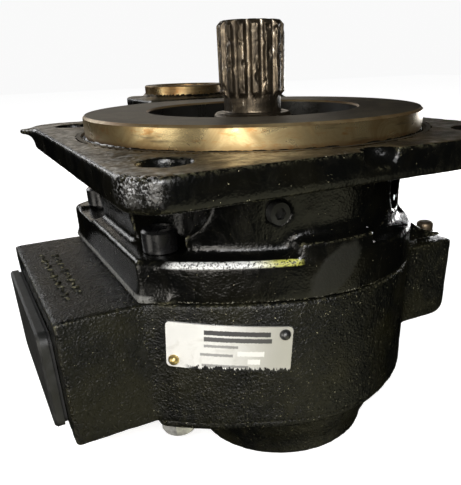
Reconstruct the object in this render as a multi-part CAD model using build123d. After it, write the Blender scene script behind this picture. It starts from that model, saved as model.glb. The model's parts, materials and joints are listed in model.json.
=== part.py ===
from build123d import *
import os
from math import atan2, cos, degrees, pi, radians, sin, sqrt, tan

# Hydraulic external gear pump, standing with its drive shaft up.
# Millimetres. The origin is on the shaft axis, in the plane of the mounting face.
# +Z runs along the shaft towards its free end, +X towards the outlet port and
# +Y from the drive gear towards the idler gear.

# ---- Driving dimensions ----------------------------------------------------
# Mounting flange: four bolts on a 114.5 mm square with a 127 mm pilot
PILOT_R = 63.5
PILOT_HEIGHT = 7.0
RELIEF_WIDTH = 1.6
RELIEF_DEPTH = 0.8
PILOT_CHAMFER = 0.8
RECESS_R = 40.0
RECESS_FLOOR_Z = 0.5
FLANGE_SIZE = (147.0, 153.0)
FLANGE_THICKNESS = 10.0
FLANGE_CORNER_R = 13.0
BOLT_SPACING = 114.5
BOLT_HOLE_R = 7.15
EDGE_NOTCH_R = 6.0
EDGE_NOTCH_DEPTH = 4.5
BOLT_WELL_R = BOLT_HOLE_R + 5.0
BOLT_WELL_Z = -39.5

# Levels down the casing
JOINT_Z = -54.0
JOINT_FLANGE_TOP_Z = -38.0
REAR_JOINT_Z = -105.5
REAR_FLANGE_Z = -110.5
BASE_Z = -139.0

# Bowl of the rear cover: its plan's radius at each level, about both shafts
BOWL_X = 14.0
BOWL_Y_REACH = 22.5
BOWL_LEVELS = [(-109.5, 51.0), (-123.0, 46.0), (-132.0, 42.0), (BASE_Z, 41.0)]

# Plan of the casing's front half: the arc that carries the nameplate, then the
# points where the front and right-hand arcs end
FRONT_LEFT_ARC = [(-59.0, -21.0), (-37.5, -37.0), (-14.0, -48.6)]
CASING_RIGHT = (38.0, -46.6)
CASING_SIDE = (69.0, -12.0)

NECK_INSET = 7.0
NECK_FLARE = 9.0

# Raised boss on the front of the joint flange, the cast block above it that
# carries the gallery plug, and the bead along the left foot of the cover
BOSS_X = (-9.5, 21.0)
BOSS_INSET = 0.6
GALLERY_BLOCK = ((-5.0, 9.0), (-47.4, -38.0), (-23.5, -9.0))
FOOT_BEAD = (1.4, 2.2)
FOOT_BEAD_END_X = -50.0

# Thin pointed ear of flash on the flange's rear left corner, in plan
EAR_REACH = 5.0
EAR_Y = (52.0, 66.0, 70.0, 72.0)
EAR_Z = (-3.4, -0.8)

# Wide cast fillet from the neck out over the outlet block
SHOULDER_R = 39.0
SHOULDER_CENTRE = (93.0, -13.5)
SHOULDER_HALF_WIDTH = 50.0

# Gears and shafts
TEETH = 12
MODULE = 4.75
PRESSURE_ANGLE = 25.0
ADDENDUM = 0.95 * MODULE
DEDENDUM = 1.2 * MODULE
BACKLASH = 0.24
GEAR_TOP_Z = -62.05
GEAR_BOTTOM_Z = -97.95
CENTRE_DISTANCE = TEETH * MODULE
JOURNAL_R = 15.0
JOURNAL_END_Z = -128.0
TIP_CLEARANCE = 0.12
RUNNING_CLEARANCE = 0.05

# Splined shaft end: 15 teeth, 16/32 pitch
SPLINE_TEETH = 15
SPLINE_MAJOR_R = 12.49
SPLINE_MINOR_R = 10.85
SPLINE_LAND_HALF = 1.05
SPLINE_TOP_Z = 36.5
SPLINE_END_Z = 11.0
NECK_R = 11.0
SHOULDER_Z = 5.5

# Ports: the inlet in the left block, the outlet in the right block
PORT_Y = CENTRE_DISTANCE / 2
LEFT_BLOCK_HALF_WIDTH = 51.0
RIGHT_BLOCK_HALF_WIDTH = 55.5
RIGHT_BLOCK_Z = -92.0
INLET_FACE_X = -89.8
INLET_Z = -82.8
INLET_BORE_R = 15.9
INLET_BOLTS = (58.7, 30.2)
OUTLET_FACE_X = 89.8
OUTLET_Z = -73.5
OUTLET_BORE_R = 9.5
OUTLET_BORE_DEPTH = 22.0
OUTLET_GALLERY_R = 8.5
OUTLET_BOLTS = (47.6, 22.2)
GASKET_THICKNESS = 1.2
CAP_THICKNESS = 3.6
CAP_Y = (-11.5, 70.5)
CAP_Z = (-103.0, -62.5)
PORT_THREAD_R = 5.0
PORT_THREAD_DEPTH = 18.0

# Cover screws, M8, through all three castings. The left pair ends in nuts
# under the rear cover, and the right pair in its tapped bowl
SCREW_X = 47.0
SCREW_Y_REACH = 42.5
SCREW_R = 4.0
SCREW_HEAD_R = 6.5
SCREW_HEAD_HEIGHT = 8.0
SCREW_SOCKET_R = 3.46
SCREW_SOCKET_DEPTH = 4.0
SCREW_END_Z = -124.0
NUT_HEIGHT = 6.5
NUT_R = 7.6
POCKET_R = 12.5
SCOOP_Z = -19.5
SCOOP_REACH = 60.0

# Bearings and seals
BUSH_R = 19.0
BUSH_TOP_Z = -30.0
REAR_BUSH_END_Z = -129.0
SEAL_BORE_R = 24.0
SEAL_BORE_END_Z = -12.0
PRESSURE_SEAL_R = (27.0, 24.8)
JOINT_SEAL_R = 37.0
JOINT_SEAL_WIDTH = 2.6
JOINT_SEAL_DEPTH = 2.2
DOWEL_R = 4.0
DOWEL_X = (-52.0, 58.0)

# Auxiliary port behind the mounting flange
AUX_CENTRE = (14.0, 104.0)
AUX_PAD_Z = 7.0
AUX_PAD_PLAN = [(-14, 79), (64, 79), (76, 92), (76, 127), (-14, 127)]
AUX_SLOPE = [(60, AUX_PAD_Z), (78, AUX_PAD_Z), (78, AUX_PAD_Z - 8)]
AUX_COLLAR_Z = 12.5
AUX_COLLAR_R = 21.5
AUX_COLLAR_BORE_R = 16.5
AUX_BORE_R = 11.0
AUX_BORE_END_Z = -30.0

# Small plugs: one on the outlet side, one in the front of the neck
PLUG_STEM_R = 3.0
PLUG_HEAD_R = 3.8
PLUG_SEAT_R = 4.2
BLEED_PLACE = (84.0, -14.0)
BLEED_SEAT_Z = -52.2
GALLERY_SEAT = (-15.0, -42.0, -23.0)

# Nameplate on the front left of the gear housing
PLATE_SIZE = (46.0, 18.4)
PLATE_THICKNESS = 0.8
PLATE_Z = -71.0
PLATE_MIDDLE = (-33.7, -39.2)
PLATE_TILT = -4.0
RIVET_R = 2.1
RIVET_STEM_R = 1.15

SCREW_PLACES = [(x, PORT_Y + s * SCREW_Y_REACH) for x in (-SCREW_X, SCREW_X) for s in (-1, 1)]
BOLT_PLACES = [(x * BOLT_SPACING / 2, y * BOLT_SPACING / 2) for x in (-1, 1) for y in (-1, 1)]
SHAFT_AXES = [(0.0, 0.0), (0.0, CENTRE_DISTANCE)]
GEAR_R = CENTRE_DISTANCE / 2 + ADDENDUM
CHAMBER_R = GEAR_R + TIP_CLEARANCE


# ---- Shared shapes ---------------------------------------------------------
def cylinder(x, y, z_low, z_high, radius):
    """A vertical cylinder between two levels."""
    return Pos(x, y, z_low) * Cylinder(radius, z_high - z_low, align=(Align.CENTER, Align.CENTER, Align.MIN))


def ring(x, y, z_low, z_high, outer, inner):
    """A vertical tube between two levels."""
    return cylinder(x, y, z_low, z_high, outer) - cylinder(x, y, z_low - 1, z_high + 1, inner)


def block(x_range, y_range, z_range):
    """A box given by its limits."""
    low = (x_range[0], y_range[0], z_range[0])
    size = (x_range[1] - x_range[0], y_range[1] - y_range[0], z_range[1] - z_range[0])
    return Pos(*low) * Box(*size, align=(Align.MIN, Align.MIN, Align.MIN))


def cross_bore(y, z, x_from, x_to, radius):
    """A cylinder along X."""
    base = (Align.CENTER, Align.CENTER, Align.MIN)
    return Pos(x_from, y, z) * Rot(0, 90, 0) * Cylinder(radius, x_to - x_from, align=base)


def prism(face, z_low, z_high):
    """Raises a face drawn in plan between two levels."""
    return extrude(Pos(0, 0, z_low) * face, z_high - z_low)


def across(point):
    """The same point on the other side of the ports' plane."""
    return (point[0], 2 * PORT_Y - point[1])


def casing_outline(inset=0.0):
    """Plan of the casing: a flat side to the left and rounded ends front and back."""
    corner, bulge, left_end = FRONT_LEFT_ARC
    front_left = ThreePointArc(corner, bulge, left_end)
    front = TangentArc(left_end, CASING_RIGHT, tangent=front_left % 1)
    front_right = TangentArc(CASING_RIGHT, CASING_SIDE, tangent=front % 1)
    back_left = ThreePointArc(across(corner), across(bulge), across(left_end))
    back = TangentArc(across(left_end), across(CASING_RIGHT), tangent=back_left % 1)
    back_right = TangentArc(across(CASING_RIGHT), across(CASING_SIDE), tangent=back % 1)
    sides = [Line(CASING_SIDE, across(CASING_SIDE)), Line(corner, across(corner))]
    plan = make_face([front_left, front, front_right, back_left, back, back_right] + sides)
    return offset(plan, -inset) if inset else plan


def stadium(x, y_low, y_high, radius):
    """Plan of two equal round ends joined by straight sides along Y."""
    height = y_high - y_low
    plan = Pos(x, y_low) * Circle(radius) + Pos(x, y_high) * Circle(radius)
    return plan + Pos(x, (y_low + y_high) / 2) * Rectangle(2 * radius, height)


def seal_band(z_low, z_high):
    """The race of a joint seal round both gear chambers."""
    outer = prism(stadium(0, 0, CENTRE_DISTANCE, JOINT_SEAL_R + JOINT_SEAL_WIDTH / 2), z_low, z_high)
    inner = stadium(0, 0, CENTRE_DISTANCE, JOINT_SEAL_R - JOINT_SEAL_WIDTH / 2)
    return outer - prism(inner, z_low - 1, z_high + 1)


def level_edges(shape, z):
    """Edges that lie in one horizontal plane."""
    heights = [(e, e.bounding_box()) for e in shape.edges()]
    return [e for e, box in heights if abs(box.min.Z - z) < 0.01 and abs(box.max.Z - z) < 0.01]


# ---- Mounting cover --------------------------------------------------------
def flange_plate():
    plate = prism(RectangleRounded(*FLANGE_SIZE, FLANGE_CORNER_R), -FLANGE_THICKNESS, 0)
    plate = fillet(level_edges(plate, -FLANGE_THICKNESS), 2.0)
    plate = fillet(level_edges(plate, 0), 0.8)
    plate += flange_ear()
    for y in (-FLANGE_SIZE[1] / 2, FLANGE_SIZE[1] / 2):
        plate -= cylinder(0, y, -EDGE_NOTCH_DEPTH, 1, EDGE_NOTCH_R)
    return plate


def flange_ear():
    edge_x = -FLANGE_SIZE[0] / 2
    xs = (edge_x + 3, edge_x - EAR_REACH, edge_x - EAR_REACH + 0.5, edge_x + 6)
    plan = make_face(Polyline(*zip(xs, EAR_Y), close=True))
    return fillet(prism(plan, *EAR_Z).edges().filter_by(Axis.Z), 1.5)


def flared_shoulder():
    """The wide cast fillet that runs from the neck out over the outlet block."""
    centre_x, centre_z = SHOULDER_CENTRE
    y_range = (PORT_Y - SHOULDER_HALF_WIDTH, PORT_Y + SHOULDER_HALF_WIDTH)
    shoulder = block((40, OUTLET_FACE_X), y_range, (JOINT_Z, centre_z))
    shoulder -= Pos(centre_x, PORT_Y, centre_z) * Rot(90, 0, 0) * Cylinder(SHOULDER_R, 200)
    corners = [e for e in shoulder.edges().filter_by(Axis.Z) if e.center().X > 50]
    return fillet(corners, 5.0)


def auxiliary_pad():
    """The raised block behind the flange, with a machined collar round its port."""
    pad = prism(make_face(Polyline(*AUX_PAD_PLAN, close=True)), JOINT_FLANGE_TOP_Z - 10, AUX_PAD_Z)
    pad = fillet(pad.edges().filter_by(Axis.Z), 5.0)
    slope = make_face(Polyline(*AUX_SLOPE, close=True))
    pad -= Pos(0, AUX_CENTRE[1], 0) * extrude(Plane.XZ * slope, 40, both=True)
    x, y = AUX_CENTRE
    pad += cylinder(x, y, AUX_PAD_Z - 1, AUX_COLLAR_Z, AUX_COLLAR_R)
    return pad - cylinder(x, y, AUX_PAD_Z, AUX_COLLAR_Z + 1, AUX_COLLAR_BORE_R)


def screw_scoop(x, y):
    """The pocket over one cover screw: a round well and a round-bottomed way out to front or back."""
    outward = -1 if y < PORT_Y else 1
    well = cylinder(x, y, JOINT_FLANGE_TOP_Z, -FLANGE_THICKNESS, POCKET_R)
    y_range = sorted((y, y + outward * SCOOP_REACH))
    base = (Align.CENTER, Align.CENTER, Align.MIN)
    way = Pos(x, y_range[0], SCOOP_Z) * Rot(-90, 0, 0) * Cylinder(POCKET_R, SCOOP_REACH, align=base)
    way += block((x - POCKET_R, x + POCKET_R), y_range, (SCOOP_Z, -FLANGE_THICKNESS + 5))
    return well + (way & block((-90, 90), (-90, 150), (JOINT_FLANGE_TOP_Z, -FLANGE_THICKNESS)))


def mounting_cover():
    joint_flange = prism(casing_outline(), JOINT_Z, JOINT_FLANGE_TOP_Z)
    joint_flange = fillet(level_edges(joint_flange, JOINT_FLANGE_TOP_Z), 2.5)
    neck_height = -JOINT_FLANGE_TOP_Z - FLANGE_THICKNESS + 2
    neck_foot = Pos(0, 0, JOINT_FLANGE_TOP_Z - 1) * casing_outline(NECK_INSET)
    neck = extrude(neck_foot, neck_height, taper=-NECK_FLARE)
    cover = joint_flange + neck + flared_shoulder() + auxiliary_pad()
    boss = prism(casing_outline(BOSS_INSET), JOINT_Z + 4, JOINT_FLANGE_TOP_Z + 5)
    cover += boss & block(BOSS_X, (-60, -30), (-60, 0))
    cover += block(*GALLERY_BLOCK)
    bead_width, bead_height = FOOT_BEAD
    foot = prism(casing_outline(-bead_width), JOINT_Z, JOINT_Z + bead_height)
    cover += foot & block((-80, FOOT_BEAD_END_X), (-40, 100), (-60, 0))
    cover += flange_plate()
    cover += cylinder(0, 0, -1, PILOT_HEIGHT, PILOT_R)
    rims = ShapeList(level_edges(cover, PILOT_HEIGHT)).filter_by(GeomType.CIRCLE)
    cover = chamfer([e for e in rims if abs(e.radius - PILOT_R) < 0.01], PILOT_CHAMFER)
    cover -= cylinder(0, 0, -RELIEF_DEPTH, 0, PILOT_R + RELIEF_WIDTH) - cylinder(0, 0, -1, 1, PILOT_R)
    for x, y in SCREW_PLACES:
        cover -= screw_scoop(x, y)
        cover -= cylinder(x, y, JOINT_Z - 1, JOINT_FLANGE_TOP_Z + 1, SCREW_R + 0.5)
    for x, y in BOLT_PLACES:
        cover -= cylinder(x, y, BOLT_WELL_Z, -FLANGE_THICKNESS, BOLT_WELL_R)
        cover -= cylinder(x, y, -FLANGE_THICKNESS - 1, 1, BOLT_HOLE_R)
    cover -= cylinder(0, 0, RECESS_FLOOR_Z, PILOT_HEIGHT + 1, RECESS_R)
    cover -= cylinder(0, 0, SEAL_BORE_END_Z, RECESS_FLOOR_Z + 1, SEAL_BORE_R)
    cover -= cylinder(0, 0, -3.0, -1.4, SEAL_BORE_R + 1.6)
    cover -= cylinder(0, 0, JOINT_Z - 1, 0, JOURNAL_R + 2)
    for x, y in SHAFT_AXES:
        cover -= cylinder(x, y, JOINT_Z - 1, BUSH_TOP_Z, BUSH_R)
    for x in DOWEL_X:
        cover -= cylinder(x, PORT_Y, JOINT_Z - 1, JOINT_Z + 7, DOWEL_R)
    cover -= cylinder(*AUX_CENTRE, AUX_BORE_END_Z, AUX_COLLAR_Z, AUX_BORE_R)
    return cover - gallery_hole() - bleed_plug_hole()


def gallery_hole():
    """The gallery drilling in the front of the neck, with its spot face."""
    x, y, z = GALLERY_SEAT
    base = (Align.CENTER, Align.CENTER, Align.MIN)
    drilling = Pos(x, y, z) * Rot(-90, 0, 0) * Cylinder(PLUG_STEM_R, 10, align=base)
    return drilling + Pos(x, y, z) * Rot(90, 0, 0) * Cylinder(PLUG_SEAT_R, 20, align=base)


# ---- Gear housing and rear cover -------------------------------------------
def port_threads(face_x, z, spacing, inward):
    """Four tapped holes round a flange port."""
    x_low, x_high = sorted((face_x - inward, face_x + inward * PORT_THREAD_DEPTH))
    holes = Part()
    for y in (PORT_Y - spacing[0] / 2, PORT_Y + spacing[0] / 2):
        for hole_z in (z - spacing[1] / 2, z + spacing[1] / 2):
            holes += cross_bore(y, hole_z, x_low, x_high, PORT_THREAD_R)
    return holes


def gear_housing():
    housing = prism(casing_outline(), REAR_JOINT_Z, JOINT_Z)
    y_range = (PORT_Y - LEFT_BLOCK_HALF_WIDTH, PORT_Y + LEFT_BLOCK_HALF_WIDTH)
    left = block((INLET_FACE_X, -40), y_range, (REAR_JOINT_Z, JOINT_Z))
    housing += fillet([e for e in left.edges() if e.center().X < -60], 1.2)
    y_range = (PORT_Y - RIGHT_BLOCK_HALF_WIDTH, PORT_Y + RIGHT_BLOCK_HALF_WIDTH)
    right = block((40, OUTLET_FACE_X), y_range, (RIGHT_BLOCK_Z, JOINT_Z))
    lower = [e for e in right.edges().filter_by(Axis.Y) if e.center().Z < -80 and e.center().X > 50]
    right = fillet(lower, 6.0)
    housing += fillet([e for e in right.edges().filter_by(Axis.Z) if e.center().X > 50], 2.0)
    for x, y in SHAFT_AXES:
        housing -= cylinder(x, y, REAR_JOINT_Z - 1, JOINT_Z + 1, CHAMBER_R)
    housing -= cross_bore(PORT_Y, INLET_Z, INLET_FACE_X - 1, 0, INLET_BORE_R)
    housing -= cross_bore(PORT_Y, OUTLET_Z, 0, OUTLET_FACE_X + 1, OUTLET_GALLERY_R)
    bore_end_x = OUTLET_FACE_X - OUTLET_BORE_DEPTH
    housing -= cross_bore(PORT_Y, OUTLET_Z, bore_end_x, OUTLET_FACE_X + 1, OUTLET_BORE_R)
    housing -= port_threads(INLET_FACE_X, INLET_Z, INLET_BOLTS, 1)
    housing -= port_threads(OUTLET_FACE_X, OUTLET_Z, OUTLET_BOLTS, -1)
    housing -= seal_band(JOINT_Z - JOINT_SEAL_DEPTH, JOINT_Z + 1)
    housing -= seal_band(REAR_JOINT_Z - 1, REAR_JOINT_Z + JOINT_SEAL_DEPTH)
    for x, y in SCREW_PLACES:
        housing -= cylinder(x, y, REAR_JOINT_Z - 1, JOINT_Z + 1, SCREW_R + 0.5)
    for x in DOWEL_X:
        housing -= cylinder(x, PORT_Y, JOINT_Z - 7, JOINT_Z + 1, DOWEL_R)
        housing -= cylinder(x, PORT_Y, REAR_JOINT_Z - 1, REAR_JOINT_Z + 6, DOWEL_R)
    for frame in rivet_frames():
        housing -= frame * rivet_stem()
    return housing - bleed_plug_hole()


def bleed_plug_hole():
    """The bleed plug's hole through the cover's thin edge, with its spot face above."""
    x, y = BLEED_PLACE
    hole = cylinder(x, y, JOINT_Z - 8, BLEED_SEAT_Z, PLUG_STEM_R)
    return hole + cylinder(x, y, BLEED_SEAT_Z, BLEED_SEAT_Z + 9, PLUG_SEAT_R)


def rear_cover():
    """The thin rear flange and the bowl below it that holds the rear bearings."""
    cover = prism(casing_outline(2.0), REAR_FLANGE_Z, REAR_JOINT_Z)
    cover = fillet(level_edges(cover, REAR_FLANGE_Z), 2.0)
    for (z_high, wide), (z_low, narrow) in zip(BOWL_LEVELS, BOWL_LEVELS[1:]):
        plan = stadium(BOWL_X, PORT_Y - BOWL_Y_REACH, PORT_Y + BOWL_Y_REACH, wide)
        slope = degrees(atan2(wide - narrow, z_high - z_low))
        cover += extrude(Pos(0, 0, z_high) * plan, z_low - z_high, taper=slope)
    cover = fillet(level_edges(cover, BASE_Z), 1.5)
    for x, y in SHAFT_AXES:
        cover -= cylinder(x, y, REAR_BUSH_END_Z - 0.5, REAR_JOINT_Z + 1, BUSH_R)
    for x, y in SCREW_PLACES:
        cover -= cylinder(x, y, SCREW_END_Z, REAR_JOINT_Z + 1, SCREW_R + 0.5 if x < 0 else SCREW_R)
        if x < 0:
            cover -= cylinder(x, y, REAR_FLANGE_Z - NUT_HEIGHT - 12, REAR_FLANGE_Z, NUT_R + 1.5)
    for x in DOWEL_X:
        cover -= cylinder(x, PORT_Y, REAR_JOINT_Z - 4.5, REAR_JOINT_Z + 1, DOWEL_R)
    return cover


# ---- Gears and shafts ------------------------------------------------------
def polar(radius, angle):
    return (radius * cos(angle), radius * sin(angle))


def gear_face(phase):
    """Plan of a spur gear with true involute flanks, one tooth centred on the phase angle."""
    pitch_r = TEETH * MODULE / 2
    base_r = pitch_r * cos(radians(PRESSURE_ANGLE))
    root_r = pitch_r - DEDENDUM
    flat = tan(radians(PRESSURE_ANGLE)) - radians(PRESSURE_ANGLE)
    half_base = (pi * MODULE / 2 - BACKLASH) / (2 * pitch_r) + flat

    def flank_angle(radius):
        roll = sqrt((radius / base_r) ** 2 - 1)
        return half_base - (roll - atan2(roll, 1))

    radii = [base_r + (GEAR_R - base_r) * k / 5 for k in range(6)]
    edges = []
    step = 2 * pi / TEETH
    for tooth in range(TEETH):
        middle = radians(phase) + tooth * step
        rising = [polar(r, middle - flank_angle(r)) for r in radii]
        falling = [polar(r, middle + flank_angle(r)) for r in reversed(radii)]
        foot = polar(root_r, middle - half_base)
        heel = polar(root_r, middle + half_base)
        next_foot = polar(root_r, middle + step - half_base)
        edges += [Line(foot, rising[0]), Spline(*rising)]
        edges += [ThreePointArc(rising[-1], polar(GEAR_R, middle), falling[0])]
        edges += [Spline(*falling), Line(falling[-1], heel)]
        edges += [ThreePointArc(heel, polar(root_r, middle + step / 2), next_foot)]
    return make_face(edges)


def spline_teeth():
    """The external spline: straight-flanked teeth on a plain core."""
    slope = tan(radians(30))
    root_half = SPLINE_LAND_HALF + (SPLINE_MAJOR_R - SPLINE_MINOR_R) * slope
    length = SPLINE_TOP_Z - SPLINE_END_Z
    corners = [
        (SPLINE_MINOR_R - 1, -root_half),
        (SPLINE_MAJOR_R + 0.5, -SPLINE_LAND_HALF),
        (SPLINE_MAJOR_R + 0.5, SPLINE_LAND_HALF),
        (SPLINE_MINOR_R - 1, root_half),
    ]
    tooth = extrude(Pos(0, 0, SPLINE_END_Z - 2) * make_face(Polyline(*corners, close=True)), length + 2)
    teeth = cylinder(0, 0, SPLINE_END_Z - 2, SPLINE_TOP_Z, SPLINE_MINOR_R)
    for k in range(SPLINE_TEETH):
        teeth += Rot(0, 0, 360 * (k + 0.35) / SPLINE_TEETH) * tooth
    lead = 1.6
    profile = [
        (0, SPLINE_END_Z - 2),
        (NECK_R, SPLINE_END_Z - 2),
        (NECK_R, SPLINE_END_Z),
        (SPLINE_MAJOR_R, SPLINE_END_Z + lead),
        (SPLINE_MAJOR_R, SPLINE_TOP_Z - lead),
        (SPLINE_MAJOR_R - lead, SPLINE_TOP_Z),
        (0, SPLINE_TOP_Z),
    ]
    envelope = revolve(make_face(Plane.XZ * Polyline(*profile, close=True)), Axis.Z)
    return teeth & envelope


def journals(top_z):
    """A plain shaft from the rear bearing up to a level, with a small lead at each end."""
    shaft = cylinder(0, 0, JOURNAL_END_Z, top_z, JOURNAL_R)
    return chamfer(shaft.edges().filter_by(GeomType.CIRCLE), 1.0)


def gear(phase):
    return prism(gear_face(phase), GEAR_BOTTOM_Z, GEAR_TOP_Z)


def drive_gear_shaft():
    shaft = journals(SHOULDER_Z) + gear(90)
    shaft += cylinder(0, 0, SHOULDER_Z - 1, SPLINE_END_Z, NECK_R)
    shaft += spline_teeth()
    centre_hole = cylinder(0, 0, SPLINE_TOP_Z - 7, SPLINE_TOP_Z + 1, 2.0)
    lead = Pos(0, 0, SPLINE_TOP_Z - 1.5) * Cone(2.0, 4.6, 3.0)
    return shaft - centre_hole - lead


def idler_gear_shaft():
    shaft = journals(BUSH_TOP_Z - 1) + gear(90 + 180 / TEETH)
    return Pos(0, CENTRE_DISTANCE, 0) * shaft


# ---- Inner fittings --------------------------------------------------------
def wear_plate(z_low, z_high, back_z):
    """A figure-eight plate beside the gears, grooved on its back for the pressure seal."""
    plan = Circle(CHAMBER_R - RUNNING_CLEARANCE)
    plate = prism(plan + Pos(0, CENTRE_DISTANCE) * plan, z_low, z_high)
    for x, y in SHAFT_AXES:
        plate -= cylinder(x, y, z_low - 1, z_high + 1, JOURNAL_R + 0.15)
    return plate - pressure_seal(back_z)


def pressure_seal(back_z):
    """The square-section seal on a wear plate's back, round both shafts."""
    depth = 1.6
    z_low, z_high = (back_z - depth, back_z) if back_z > -80 else (back_z, back_z + depth)
    outer_r, inner_r = PRESSURE_SEAL_R
    outer = Circle(outer_r) + Pos(0, CENTRE_DISTANCE) * Circle(outer_r)
    outer += Pos(0, PORT_Y) * Rectangle(26, 20)
    inner = Circle(inner_r) + Pos(0, CENTRE_DISTANCE) * Circle(inner_r)
    inner += Pos(0, PORT_Y) * Rectangle(21.6, 24)
    return prism(outer, z_low, z_high) - prism(inner, z_low - 1, z_high + 1)


def bush(axis, z_low, z_high):
    """A plain bearing bush, just clear of its journal."""
    return ring(*axis, z_low, z_high, BUSH_R, JOURNAL_R + RUNNING_CLEARANCE)


def seal_case():
    """The pressed steel case of the shaft seal."""
    wall = ring(0, 0, SEAL_BORE_END_Z, -3.5, SEAL_BORE_R, SEAL_BORE_R - 1.2)
    return wall + ring(0, 0, SEAL_BORE_END_Z, SEAL_BORE_END_Z + 1.2, SEAL_BORE_R, 18.5)


def seal_lip():
    """The rubber lip of the shaft seal, just clear of the shaft."""
    inner = JOURNAL_R + RUNNING_CLEARANCE
    low = SEAL_BORE_END_Z + 1.2
    profile = [
        (SEAL_BORE_R - 1.2, low),
        (SEAL_BORE_R - 1.2, -4.2),
        (SEAL_BORE_R - 2.6, -4.2),
        (SEAL_BORE_R - 3.2, low + 2.2),
        (inner + 1.6, low + 2.2),
        (inner + 1.6, -4.6),
        (inner, -5.6),
        (inner, -6.6),
        (inner + 0.9, low),
    ]
    return revolve(make_face(Plane.XZ * Polyline(*profile, close=True)), Axis.Z)


def seal_circlip():
    """The internal retaining ring above the shaft seal, with its two eyes."""
    clip = ring(0, 0, -2.95, -1.45, SEAL_BORE_R + 1.5, SEAL_BORE_R - 2.2)
    gap = block((-4, 4), (-30, 0), (-5, 0))
    clip -= gap
    for x in (-6.5, 6.5):
        eye_y = -(SEAL_BORE_R - 3.4)
        clip += cylinder(x, eye_y, -2.95, -1.45, 2.4)
        clip -= cylinder(x, eye_y, -4, 0, 1.0)
    return clip


# ---- Fasteners and outside fittings ----------------------------------------
def cap_screw(x, y):
    """A long hexagon-socket cap screw seated on the joint flange."""
    top = JOINT_FLANGE_TOP_Z + SCREW_HEAD_HEIGHT
    head = cylinder(x, y, JOINT_FLANGE_TOP_Z, top, SCREW_HEAD_R)
    head = chamfer(level_edges(head, top), 0.9)
    socket = prism(Pos(x, y) * RegularPolygon(SCREW_SOCKET_R, 6), top - SCREW_SOCKET_DEPTH, top + 1)
    end_z = REAR_FLANGE_Z - NUT_HEIGHT if x < 0 else SCREW_END_Z
    return head + cylinder(x, y, end_z, JOINT_FLANGE_TOP_Z, SCREW_R) - socket


def rear_nut(x, y):
    """A chamfered hexagon nut under the rear flange."""
    z_low = REAR_FLANGE_Z - NUT_HEIGHT
    nut = prism(Pos(x, y) * RegularPolygon(NUT_R, 6), z_low, REAR_FLANGE_Z)
    cone = Pos(x, y, (z_low + REAR_FLANGE_Z) / 2) * Cone(NUT_R - 1.0, NUT_R + 2.4, NUT_HEIGHT)
    return (nut & cone) - cylinder(x, y, z_low - 1, REAR_FLANGE_Z + 1, SCREW_R)


def dowels(z_low, z_high):
    pins = [cylinder(x, PORT_Y, z_low, z_high, DOWEL_R) for x in DOWEL_X]
    return Compound(children=[chamfer(p.edges().filter_by(GeomType.CIRCLE), 0.6) for p in pins])


def inlet_port_cover():
    """The blanking cover over the inlet: a rectangular cap with a spigot in the bore."""
    outer_x = INLET_FACE_X - GASKET_THICKNESS - CAP_THICKNESS
    cap = block((outer_x, INLET_FACE_X - GASKET_THICKNESS), CAP_Y, CAP_Z)
    cap = fillet(cap.edges().filter_by(Axis.X), 5.0)
    cap = chamfer([e for e in cap.edges() if e.bounding_box().max.X < outer_x + 0.01], 0.9)
    spigot = cross_bore(PORT_Y, INLET_Z, INLET_FACE_X - 2, INLET_FACE_X + 16, INLET_BORE_R - 0.1)
    hollow = cross_bore(PORT_Y, INLET_Z, INLET_FACE_X + 1, INLET_FACE_X + 17, INLET_BORE_R - 3)
    return cap + spigot - hollow


def inlet_gasket():
    """The thin gasket behind the blanking cover, a little smaller than it."""
    inset = 0.8
    y_range, z_range = (CAP_Y[0] + inset, CAP_Y[1] - inset), (CAP_Z[0] + inset, CAP_Z[1] - inset)
    sheet = block((INLET_FACE_X - GASKET_THICKNESS, INLET_FACE_X), y_range, z_range)
    sheet = fillet(sheet.edges().filter_by(Axis.X), 5.0)
    return sheet - cross_bore(PORT_Y, INLET_Z, INLET_FACE_X - 2, INLET_FACE_X + 1, INLET_BORE_R)


def bleed_plug():
    """The small domed plug on top of the outlet block."""
    x, y = BLEED_PLACE
    top = BLEED_SEAT_Z + 4.2
    plug = cylinder(x, y, JOINT_Z - 8, BLEED_SEAT_Z, PLUG_STEM_R)
    plug += cylinder(x, y, BLEED_SEAT_Z, top, PLUG_HEAD_R)
    return fillet(level_edges(plug, top), 1.6)


def gallery_plug():
    """The small plug in the front of the neck."""
    base = (Align.CENTER, Align.CENTER, Align.MIN)
    seat = Pos(*GALLERY_SEAT)
    stem = seat * Rot(-90, 0, 0) * Cylinder(PLUG_STEM_R, 10, align=base)
    head = seat * Rot(90, 0, 0) * Cylinder(PLUG_HEAD_R, 3.4, align=base)
    socket = seat * Rot(90, 0, 0) * Pos(0, 0, 1.4) * extrude(RegularPolygon(2.2, 6), 3)
    return stem + head - socket


def nameplate_arc():
    """Centre and radius of the casing's front left surface, and the angle of the plate's middle."""
    a, b, c = FRONT_LEFT_ARC
    d = 2 * (a[0] * (b[1] - c[1]) + b[0] * (c[1] - a[1]) + c[0] * (a[1] - b[1]))
    sq = [p[0] ** 2 + p[1] ** 2 for p in (a, b, c)]
    x = (sq[0] * (b[1] - c[1]) + sq[1] * (c[1] - a[1]) + sq[2] * (a[1] - b[1])) / d
    y = (sq[0] * (c[0] - b[0]) + sq[1] * (a[0] - c[0]) + sq[2] * (b[0] - a[0])) / d
    return x, y, sqrt((a[0] - x) ** 2 + (a[1] - y) ** 2)


def on_plate_surface(along, z):
    """A frame on the casing's front left surface, X outward, at a distance along the plate."""
    x, y, radius = nameplate_arc()
    middle = atan2(PLATE_MIDDLE[1] - y, PLATE_MIDDLE[0] - x)
    angle = middle + along / radius
    place = Pos(x + radius * cos(angle), y + radius * sin(angle), z)
    return place * Rot(0, 0, degrees(angle))


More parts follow.
